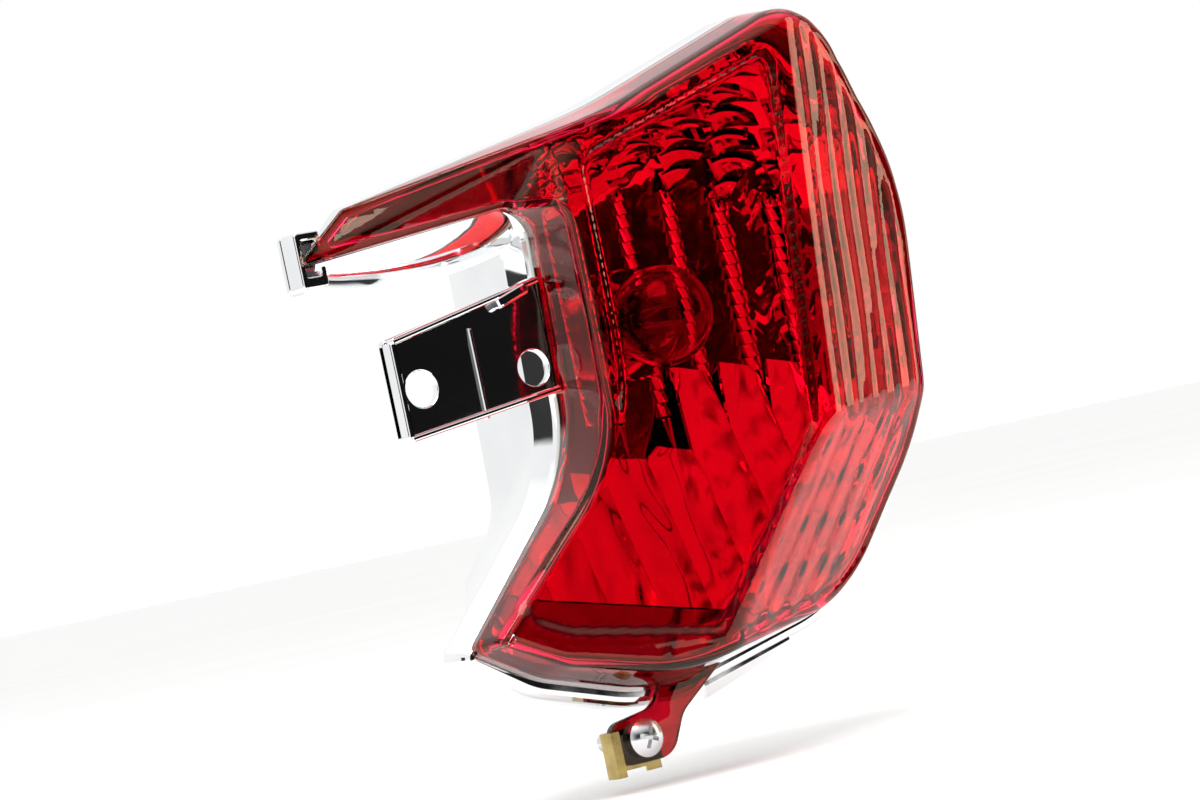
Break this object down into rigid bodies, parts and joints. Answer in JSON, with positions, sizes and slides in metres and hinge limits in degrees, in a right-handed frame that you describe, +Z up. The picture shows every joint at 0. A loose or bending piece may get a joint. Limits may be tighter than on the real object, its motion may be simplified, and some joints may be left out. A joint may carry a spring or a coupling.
{
  "type": "tail light",
  "caption": "Handed motorcycle tail light: faceted red lens with an inboard wing on a metallised reflector housing, side bracket, screw tab and twist-out bulb holder.",
  "frame": {"origin": "midway between the two holes of the side bracket, on the bracket's rear face, which is also the plane the lens is seated on", "axes": "+X outboard, +Y forward into the vehicle, +Z up; the lamp shines along -Y"},
  "size_m": [0.17, 0.0999, 0.1757],
  "materials": {
    "red_lens": "clear red acrylic, glossy",
    "sealant": "ivory hot-melt sealant, matte",
    "metallised_plastic": "vacuum-metallised plastic, mirror bright",
    "yellow_zinc": "yellow-zinc spring steel",
    "bright_zinc": "bright zinc-plated steel",
    "holder_plastic": "black nylon, fine grain",
    "gasket_rubber": "black foam rubber",
    "plated_brass": "nickel-plated brass",
    "brass": "bare brass",
    "spring_steel": "spring steel wire",
    "carrier_board": "brown phenolic board",
    "bulb_glass": "clear lamp glass",
    "base_insulator": "black vitrite",
    "solder": "lead-free solder",
    "tungsten": "coiled tungsten wire"
  },
  "bodies": {
    "lamp_shell": {"lens": "red_lens", "lens_seal": "sealant", "reflector_housing": "metallised_plastic", "tab_clip_nut": "yellow_zinc", "tab_screw": "bright_zinc"},
    "bulb_holder": {"bulb_holder_body": "holder_plastic", "bulb_holder_gasket": "gasket_rubber", "socket_sleeve": "plated_brass", "tail_terminal": "plated_brass", "brake_terminal": "plated_brass", "ground_terminal": "plated_brass", "contact_spring": "spring_steel"},
    "contact_plunger": {"contact_carrier": "carrier_board", "tail_contact_stud": "brass", "brake_contact_stud": "brass"},
    "bulb": {"bulb_glass": "bulb_glass", "bulb_glass_mount": "bulb_glass", "bulb_base_shell": "plated_brass", "bulb_bayonet_pins": "plated_brass", "bulb_base_insulator": "base_insulator", "bulb_solder_contacts": "solder", "filament_supports": "spring_steel", "tail_filament": "tungsten", "brake_filament": "tungsten"}
  },
  "joints": [
    {"name": "bulb_holder_twist", "type": "hinge", "parent": "lamp_shell", "child": "bulb_holder", "pos_m": [0.06, 0.042, 0.007], "axis": [0, 1, 0], "range_deg": [0, 40]},
    {"name": "bulb_push", "type": "slide", "parent": "bulb_holder", "child": "bulb", "axis": [0, 1, 0], "range_m": [0, 0.0025], "stiffness_N_per_m": 1500, "springref_m": -0.003, "deforming": ["contact_spring"]},
    {"name": "contact_plunger_slide", "type": "slide", "parent": "bulb_holder", "child": "contact_plunger", "axis": [0, 1, 0], "range_m": [0, 0.0025], "deforming": ["contact_spring"]}
  ],
  "couplings": [
    {"joint": "contact_plunger_slide", "follows": "bulb_push", "ratio": 1}
  ]
}
